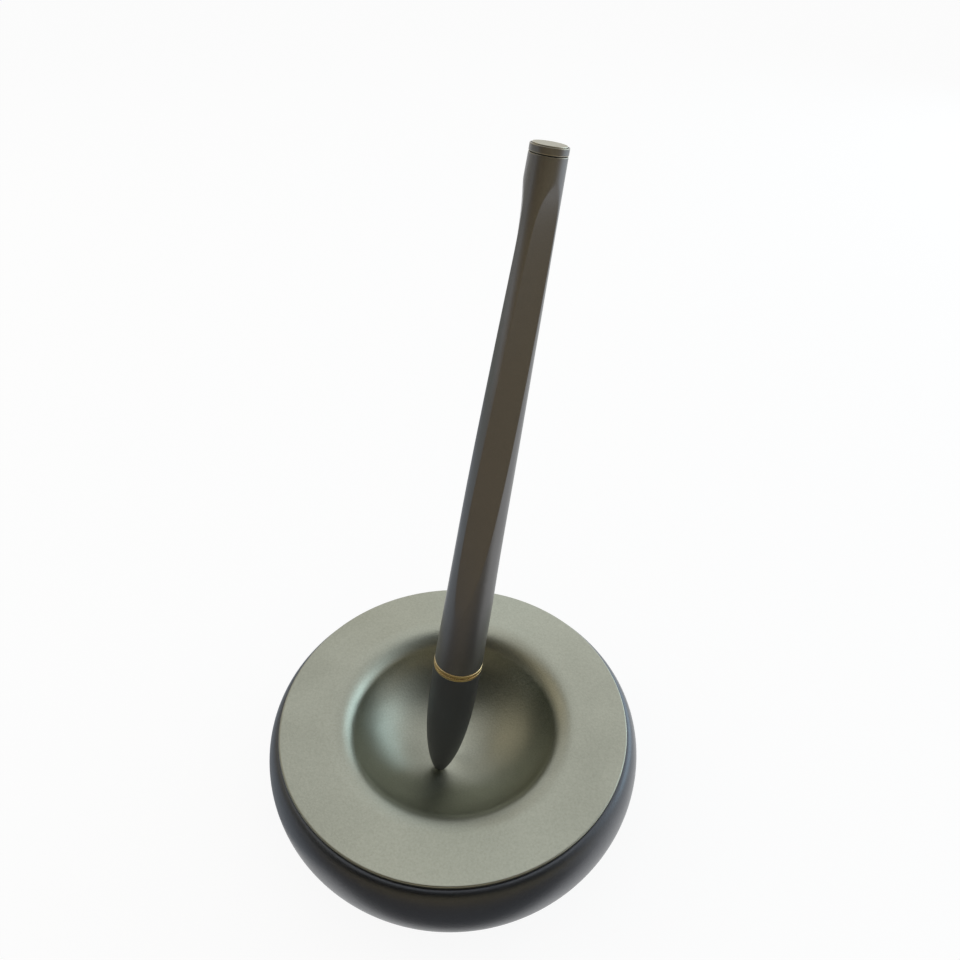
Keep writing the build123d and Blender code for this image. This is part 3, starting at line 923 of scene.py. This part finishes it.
@dataclass
class Pen:
    """The capped pen: bullet cap with its gold band, twisted barrel and end cap."""

    place: Matrix = field(default_factory=lambda: PenFrame().matrix())
    ball_radius: float = BALL_RADIUS
    ball_clearance: float = 0.05
    nose_opening: float = 0.75
    nose_mouth: float = 1.45
    nose_cheek: Point = (3.3, 4.2)
    nose_shoulder: float = 12.5
    nose_length: float = 26.8
    radius: float = 5.4
    cap_length: float = 34.5
    cap_bore: float = 4.5
    cap_neck: float = 5.0
    cap_edge_break: float = 0.08
    magnet_bore: float = 1.85
    magnet_start: float = 2.7
    liner_start: float = 9.0
    liner_top: float = 20.0
    liner_seat: float = 3.35
    band_height: float = 1.7
    band_proud: float = 0.05
    band_clearance: float = 0.03
    band_edge_break: float = 0.16
    band_groove_width: float = 0.22
    band_groove_depth: float = 0.15
    mouth_gap: float = 0.15
    barrel_length: float = 107.05
    barrel_end_radius: float = 3.22
    barrel_bore: float = 2.1
    barrel_edge_break: float = 0.1
    bush_bore: float = 4.7
    bush_depth: float = 9.8
    bumper_top: float = 117.7
    end_bore: float = 1.75
    end_bore_depth: float = 10.0
    flat_count: int = 3
    flat_run_in: float = 13.65
    flat_half_angle: float = 40.0
    flat_fade_in: float = 11.0
    flat_fade_out: float = 2.5
    flat_twist: float = 0.66
    flat_facing: float = -99.0
    flat_facing_at: float = 42.65
    collar: float = 3.5
    barrel_rings: int = 200
    barrel_steps: int = 288
    end_seam: float = 0.12
    end_band: float = 1.2
    end_edge_break: float = 0.15
    end_spigot: float = 1.7
    end_spigot_length: float = 10.0
    end_pocket: float = 2.93
    end_pocket_depth: float = 0.4
    disc_radius: float = 2.85
    disc_thickness: float = 0.6
    disc_proud: float = 0.2
    disc_edge_break: float = 0.12
    point_bore: float = 0.95
    nozzle_start: float = 13.5
    nozzle_radius: float = 1.6
    nozzle_end: float = 21.5
    nozzle_end_radius: float = 2.1
    grip_start: float = 25.0
    grip_start_radius: float = 3.8
    grip_radius: float = 4.3
    grip_edge_break: float = 0.3
    thread_radius: float = 3.6
    thread_length: float = 9.5
    thread_lead: float = 2.5
    thread_starts: int = 4
    thread_depth: float = 0.28
    thread_rings: int = 150
    thread_skin: float = 0.01
    refill_bore: float = 1.7
    refill_seat: float = 22.4
    steps: int = 128
    nose_steps: int = 64
    socket_steps: int = 8

    @property
    def band_top(self) -> float:
        """Height of the band's upper edge."""
        return self.cap_length + self.band_height

    @property
    def barrel_start(self) -> float:
        """Height of the barrel's mouth."""
        return self.band_top + self.mouth_gap

    @property
    def barrel_top(self) -> float:
        """Height of the barrel's upper end."""
        return self.barrel_start + self.barrel_length

    def cap(self) -> bpy.types.Object:
        """Cap: bullet nose, straight sleeve and the neck that carries the band.

        Returns:
            The piece.
        """
        socket = self.ball_radius + self.ball_clearance
        socket_angle = -math.degrees(math.asin((self.ball_radius - self.nose_opening) / socket))
        outline = Outline()
        outline.curve(
            (self.nose_mouth, self.nose_opening),
            self.nose_cheek,
            (self.radius, self.nose_shoulder),
            (self.radius, self.nose_length),
            self.nose_steps,
        )
        outline.to(self.radius, self.cap_length, self.cap_edge_break)
        outline.to(self.cap_neck, self.cap_length).to(self.cap_neck, self.band_top)
        outline.to(self.cap_bore, self.band_top).to(self.cap_bore, self.liner_top)
        outline.to(self.liner_seat, self.liner_top).to(self.liner_seat, self.liner_start)
        outline.to(self.magnet_bore, self.liner_start).to(self.magnet_bore, self.magnet_start)
        outline.to(socket, self.magnet_start)
        outline.arc((0, self.ball_radius), socket, 0, socket_angle, self.socket_steps)
        return settle("bullet_cap", outline.spun(self.steps), CAP_BLACK, "cap", "cap", self.place)

    def band(self) -> bpy.types.Object:
        """Gold mouth band: two rounded bands with a fine groove between them.

        Returns:
            The piece.
        """
        outer = self.radius + self.band_proud
        inner = self.cap_neck + self.band_clearance
        middle = self.cap_length + self.band_height / 2
        half = self.band_groove_width / 2
        outline = Outline()
        outline.to(inner, self.cap_length).to(outer, self.cap_length, self.band_edge_break)
        outline.to(outer, middle - half, self.band_edge_break)
        outline.to(outer - self.band_groove_depth, middle - half)
        outline.to(outer - self.band_groove_depth, middle + half)
        outline.to(outer, middle + half, self.band_edge_break)
        outline.to(outer, self.band_top, self.band_edge_break).to(inner, self.band_top)
        return settle("mouth_band", outline.spun(self.steps), GOLD, "cap", "trim_ring", self.place)

    def taper(self, height: float) -> float:
        """Radius of the round barrel at a height along the pen."""
        share = (height - self.barrel_start) / self.barrel_length
        return self.radius + (self.barrel_end_radius - self.radius) * share

    def press_flats(self, mesh: bmesh.types.BMesh) -> None:
        """Turn the barrel's rings with the twist and press its flats into the round taper.

        Args:
            mesh: Round barrel in metres, upright.
        """
        first = self.barrel_start + self.flat_run_in
        last = self.barrel_top - self.collar
        mark = mesh.verts.layers.float[EDGE_MARK]
        for vert in mesh.verts:
            height = vert.co.z / MM
            twist = self.flat_twist * (height - self.barrel_start - self.flat_facing_at)
            vert.co = Matrix.Rotation(math.radians(twist), 3, "Z") @ vert.co
            if not first < height < last:
                continue
            share = 1 - math.exp((first - height) / self.flat_fade_in)
            share *= 1 - math.exp((height - last) / self.flat_fade_out)
            reach = self.taper(height) * math.cos(math.radians(self.flat_half_angle * share)) * MM
            for number in range(self.flat_count):
                facing = math.radians(self.flat_facing + twist + 360 * number / self.flat_count)
                outwards = Vector((math.cos(facing), math.sin(facing), 0))
                proud = vert.co.dot(outwards) - reach
                if proud > 0:
                    vert.co -= outwards * proud
                    vert[mark] = 0.0

    def barrel(self) -> bpy.types.Object:
        """Barrel: long taper with three twisted flats and a round collar at its end.

        Returns:
            The piece.
        """
        outline = Outline()
        outline.to(self.bush_bore, self.barrel_start)
        outline.to(self.radius, self.barrel_start, self.barrel_edge_break)
        for ring in range(1, self.barrel_rings):
            height = self.barrel_start + self.barrel_length * ring / self.barrel_rings
            outline.to(self.taper(height), height)
        outline.to(self.barrel_end_radius, self.barrel_top, self.barrel_edge_break)
        bore_foot = self.barrel_top - self.end_bore_depth
        outline.to(self.end_bore, self.barrel_top).to(self.end_bore, bore_foot)
        outline.to(0, bore_foot).to(0, self.bumper_top)
        outline.to(self.barrel_bore, self.bumper_top)
        bush_top = self.barrel_start + self.bush_depth
        outline.to(self.barrel_bore, bush_top).to(self.bush_bore, bush_top)
        mesh = outline.spun(self.barrel_steps)
        self.press_flats(mesh)
        return settle("twist_barrel", mesh, GUNMETAL, "barrel", "barrel", self.place)

    def end_cap(self) -> bpy.types.Object:
        """End cap: narrow band on a spigot, with a pocket for the disc.

        Returns:
            The piece.
        """
        start = self.barrel_top + self.end_seam
        top = start + self.end_band
        outline = Outline()
        spigot_foot = start - self.end_spigot_length
        outline.to(0, spigot_foot).to(self.end_spigot, spigot_foot)
        outline.to(self.end_spigot, start).to(self.barrel_end_radius, start, self.end_edge_break)
        outline.to(self.barrel_end_radius, top, self.end_edge_break).to(self.end_pocket, top)
        pocket_floor = top - self.end_pocket_depth
        outline.to(self.end_pocket, pocket_floor).to(0, pocket_floor)
        return settle("end_cap", outline.spun(self.steps), GUNMETAL, "barrel", "end_plug", self.place)

    def disc(self) -> bpy.types.Object:
        """Pale disc in the end cap.

        Returns:
            The piece.
        """
        top = self.barrel_top + self.end_seam + self.end_band + self.disc_proud
        seat = top - self.disc_thickness
        outline = Outline().to(0, seat).to(self.disc_radius, seat)
        outline.to(self.disc_radius, top, self.disc_edge_break).to(0, top)
        return settle("end_disc_pale", outline.spun(self.steps), PALE_END, "barrel", "end_disc", self.place)

    def cut_thread(self, mesh: bmesh.types.BMesh, start: float, end: float) -> None:
        """Sink a several-start screw thread into the spigot.

        Args:
            mesh: Writing section in metres, upright.
            start: Height where the thread begins.
            end: Height where the thread ends.
        """
        crest = self.thread_radius - self.thread_skin
        for vert in mesh.verts:
            height = vert.co.z / MM
            radius = vert.co.xy.length / MM
            if not start < height < end or radius < crest:
                continue
            turn = math.atan2(vert.co.y, vert.co.x) / math.tau
            phase = (self.thread_starts * ((height - start) / self.thread_lead - turn)) % 1
            depth = self.thread_depth * (1 - abs(2 * phase - 1))
            vert.co.xy *= (radius - depth) / radius

    def section(self) -> bpy.types.Object:
        """Writing section: nozzle, grip and threaded spigot in one turned piece.

        Returns:
            The piece.
        """
        bush_start = self.barrel_start + 2 * self.mouth_gap
        shoulder = bush_start - self.mouth_gap
        thread_top = bush_start + self.thread_length
        outline = Outline()
        outline.to(self.point_bore, self.nozzle_start)
        outline.to(self.nozzle_radius, self.nozzle_start, self.grip_edge_break)
        outline.to(self.nozzle_end_radius, self.nozzle_end)
        outline.to(self.grip_start_radius, self.grip_start, self.grip_edge_break)
        outline.to(self.grip_radius, self.cap_length)
        outline.to(self.grip_radius, shoulder, self.cap_edge_break)
        for ring in range(self.thread_rings + 1):
            outline.to(self.thread_radius, shoulder + (thread_top - shoulder) * ring / self.thread_rings)
        outline.to(self.refill_bore, thread_top).to(self.refill_bore, self.refill_seat)
        outline.to(self.point_bore, self.refill_seat)
        mesh = outline.spun(self.steps)
        self.cut_thread(mesh, bush_start, thread_top)
        return settle("grip_section", mesh, SECTION_BLACK, "writing_section", "writing_section", self.place)

    def build(self) -> None:
        """Build the pen's pieces in order."""
        self.cap()
        self.band()
        self.section()
        self.barrel()
        self.end_cap()
        self.disc()


def facing(place: Place, target: Place) -> Quaternion:
    """Turn that points a panel's lit side from its place to its target.

    Args:
        place: Centre of the panel.
        target: Point that it faces.

    Returns:
        The turn.
    """
    return (Vector(target) - Vector(place)).to_track_quat("-Z", "Y")


def dress_nodes() -> None:
    """Give the solids that stay in view or show at a pose their own finishes."""
    for name, finish in NODE_FINISHES.items():
        for slot in frame["nodes"][name].material_slots:
            slot.material = finish.material()
        log.info("%s: dressed as %s", name, finish.slot)


@dataclass(frozen=True)
class Lamp:
    """One soft panel that lights the object."""

    name: str
    place: Place
    target: Place
    size: tuple[float, float]
    watts: float
    colour: Colour

    def hang(self) -> None:
        """Add the panel to the scene, facing its target."""
        panel = bpy.data.lights.new(self.name, "AREA")
        panel.shape = "RECTANGLE"
        panel.size, panel.size_y = self.size
        panel.energy = self.watts
        panel.color = self.colour
        lamp = bpy.data.objects.new(self.name, panel)
        lamp.location = self.place
        lamp.rotation_euler = facing(self.place, self.target).to_euler()
        bpy.context.scene.collection.objects.link(lamp)


@dataclass(frozen=True)
class Flag:
    """One dark or tinted card that the metal pieces mirror in place of the white surroundings."""

    name: str
    place: Place
    target: Place
    size: tuple[float, float]
    colour: Colour = (0.035, 0.035, 0.035)

    def hang(self) -> None:
        """Add the card to the stage, facing its target and seen in reflections alone."""
        half = 0.5
        mesh = bmesh.new()
        bmesh.ops.create_grid(mesh, x_segments=1, y_segments=1, size=half)
        bmesh.ops.scale(mesh, vec=(*self.size, 1), verts=mesh.verts)
        turn = facing(self.place, self.target).to_matrix().to_4x4()
        bmesh.ops.transform(mesh, matrix=Matrix.Translation(self.place) @ turn, verts=mesh.verts)
        data = bpy.data.meshes.new(self.name)
        mesh.to_mesh(data)
        mesh.free()
        made = bpy.data.materials.new(self.name)
        made.use_nodes = True
        shader = made.node_tree.nodes["Principled BSDF"]
        shader.inputs["Base Color"].default_value = (*self.colour, 1)
        shader.inputs["Roughness"].default_value = 1.0
        data.materials.append(made)
        card = bpy.data.objects.new(self.name, data)
        bpy.context.scene.collection.objects.link(card)
        card.visible_camera = False
        card.visible_diffuse = False
        card.visible_shadow = False


@dataclass
class Studio:
    """Camera, floor, background, lamps and cards."""

    camera_place: Place = (0.00367, -0.1162, 0.1871)
    camera_turn: float = -1.02
    camera_pitch: float = 37.7
    camera_roll: float = 0.515
    lens: float = 30.0
    sensor: float = 36.0
    nearest: float = 0.005
    floor_reach: float = 4.0
    floor_colour: float = 0.9
    floor_glow: float = 0.85
    glow_strength: float = 1.06
    ambient: float = 0.5
    lamps: tuple[Lamp, ...] = (
        Lamp("window", (0.74, 0.36, 0.22), (0, 0, 0.05), (0.7, 0.46), 2.0, (0.6, 0.85, 1.0)),
        Lamp("warm_side", (-0.6, 0.3, 0.45), (0, 0, 0.05), (0.5, 0.5), 0.4, (1.0, 0.86, 0.66)),
    )
    flags: tuple[Flag, ...] = (
        Flag("front_flag", (-0.4, -0.5, 0.4), (-0.4, 0, 0.05), (2.8, 0.9)),
        Flag("top_flag", (0, -0.42, 0.62), (0, 0, 0.05), (1.6, 0.6)),
        Flag("left_wall", (-0.75, 0.25, 0.5), (0, 0, 0.05), (1.1, 0.9), (0.5, 0.45, 0.36)),
        Flag("near_desk", (-0.26, -0.078, 0.0004), (-0.26, -0.078, 1), (0.7, 0.064), (0.4, 0.4, 0.42)),
        Flag("far_desk", (0.3, -0.38, 0.0004), (0.3, -0.38, 1), (1.8, 0.54), (0.76, 0.62, 0.43)),
        Flag("far_wall", (0.3, -0.6, 0.19), (0.3, 0, 0.19), (3.0, 0.38), (0.9, 0.72, 0.45)),
        Flag("left_desk", (-0.147, 0.154, 0.0004), (-0.147, 0.154, 1), (0.2, 0.4), (0.82, 0.88, 0.96)),
        Flag("left_far", (-0.547, 0.154, 0.0004), (-0.547, 0.154, 1), (0.6, 0.4), (0.6, 0.65, 0.57)),
    )

    def camera(self) -> None:
        """Set the camera at the photograph's viewing angle."""
        lens = bpy.data.cameras.new("camera")
        lens.lens = self.lens
        lens.sensor_width = self.sensor
        lens.clip_start = self.nearest
        camera = bpy.data.objects.new("camera", lens)
        turn = Matrix.Rotation(math.radians(self.camera_turn), 4, "Z")
        pitch = Matrix.Rotation(math.radians(90 - self.camera_pitch), 4, "X")
        roll = Matrix.Rotation(math.radians(self.camera_roll), 4, "Z")
        camera.matrix_world = Matrix.Translation(self.camera_place) @ turn @ pitch @ roll
        bpy.context.scene.collection.objects.link(camera)
        bpy.context.scene.camera = camera

    @staticmethod
    def seen_rays(tree: bpy.types.NodeTree) -> bpy.types.NodeSocket:
        """Mask of the rays that look at the background: straight, mirrored or through glass.

        Args:
            tree: Node tree that gets the nodes.

        Returns:
            Socket with 1 for those rays and 0 for the rest.
        """
        rays = tree.nodes.new("ShaderNodeLightPath")
        seen = rays.outputs["Is Camera Ray"]
        for label in ("Is Glossy Ray", "Is Transmission Ray"):
            either = tree.nodes.new("ShaderNodeMath")
            either.operation = "MAXIMUM"
            tree.links.new(seen, either.inputs[0])
            tree.links.new(rays.outputs[label], either.inputs[1])
            seen = either.outputs["Value"]
        return seen

    def floor(self) -> None:
        """Lay the pale floor: an even glow for the rays that see it, over matt white that keeps the shadow."""
        mesh = bmesh.new()
        bmesh.ops.create_grid(mesh, x_segments=1, y_segments=1, size=self.floor_reach)
        data = bpy.data.meshes.new("floor")
        mesh.to_mesh(data)
        mesh.free()
        made = bpy.data.materials.new("pale_floor")
        made.use_nodes = True
        tree = made.node_tree
        tree.nodes.clear()
        matt = tree.nodes.new("ShaderNodeBsdfDiffuse")
        matt.inputs["Color"].default_value = (*(self.floor_colour,) * 3, 1)
        glow = tree.nodes.new("ShaderNodeEmission")
        glow.inputs["Strength"].default_value = self.glow_strength
        blend = tree.nodes.new("ShaderNodeMixShader")
        share = tree.nodes.new("ShaderNodeMath")
        share.operation = "MULTIPLY"
        share.inputs[1].default_value = self.floor_glow
        leave = tree.nodes.new("ShaderNodeOutputMaterial")
        tree.links.new(self.seen_rays(tree), share.inputs[0])
        tree.links.new(share.outputs["Value"], blend.inputs["Fac"])
        tree.links.new(matt.outputs["BSDF"], blend.inputs[1])
        tree.links.new(glow.outputs["Emission"], blend.inputs[2])
        tree.links.new(blend.outputs["Shader"], leave.inputs["Surface"])
        data.materials.append(made)
        floor = bpy.data.objects.new("floor", data)
        bpy.context.scene.collection.objects.link(floor)

    def background(self) -> None:
        """White background for the rays that see it, and a softer even light for the rest."""
        world = bpy.data.worlds.new("studio")
        world.use_nodes = True
        bpy.context.scene.world = world
        tree = world.node_tree
        sky = tree.nodes["Background"]
        level = tree.nodes.new("ShaderNodeMapRange")
        level.inputs["To Min"].default_value = self.ambient
        tree.links.new(self.seen_rays(tree), level.inputs["Value"])
        tree.links.new(level.outputs["Result"], sky.inputs["Strength"])
        sky.inputs["Color"].default_value = (1, 1, 1, 1)

    def build(self) -> None:
        """Set up the studio."""
        self.camera()
        self.floor()
        self.background()
        for hung in (*self.lamps, *self.flags):
            hung.hang()
        bpy.context.scene.view_settings.view_transform = "Standard"


def main() -> None:
    """Build the studio and the object, and dress the solids that keep their shapes."""
    logging.basicConfig(level=logging.INFO, format="%(name)s: %(message)s")
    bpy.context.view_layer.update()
    Studio().build()
    Stand().build()
    Pen().build()
    dress_nodes()


if __name__ == "__main__":
    main()
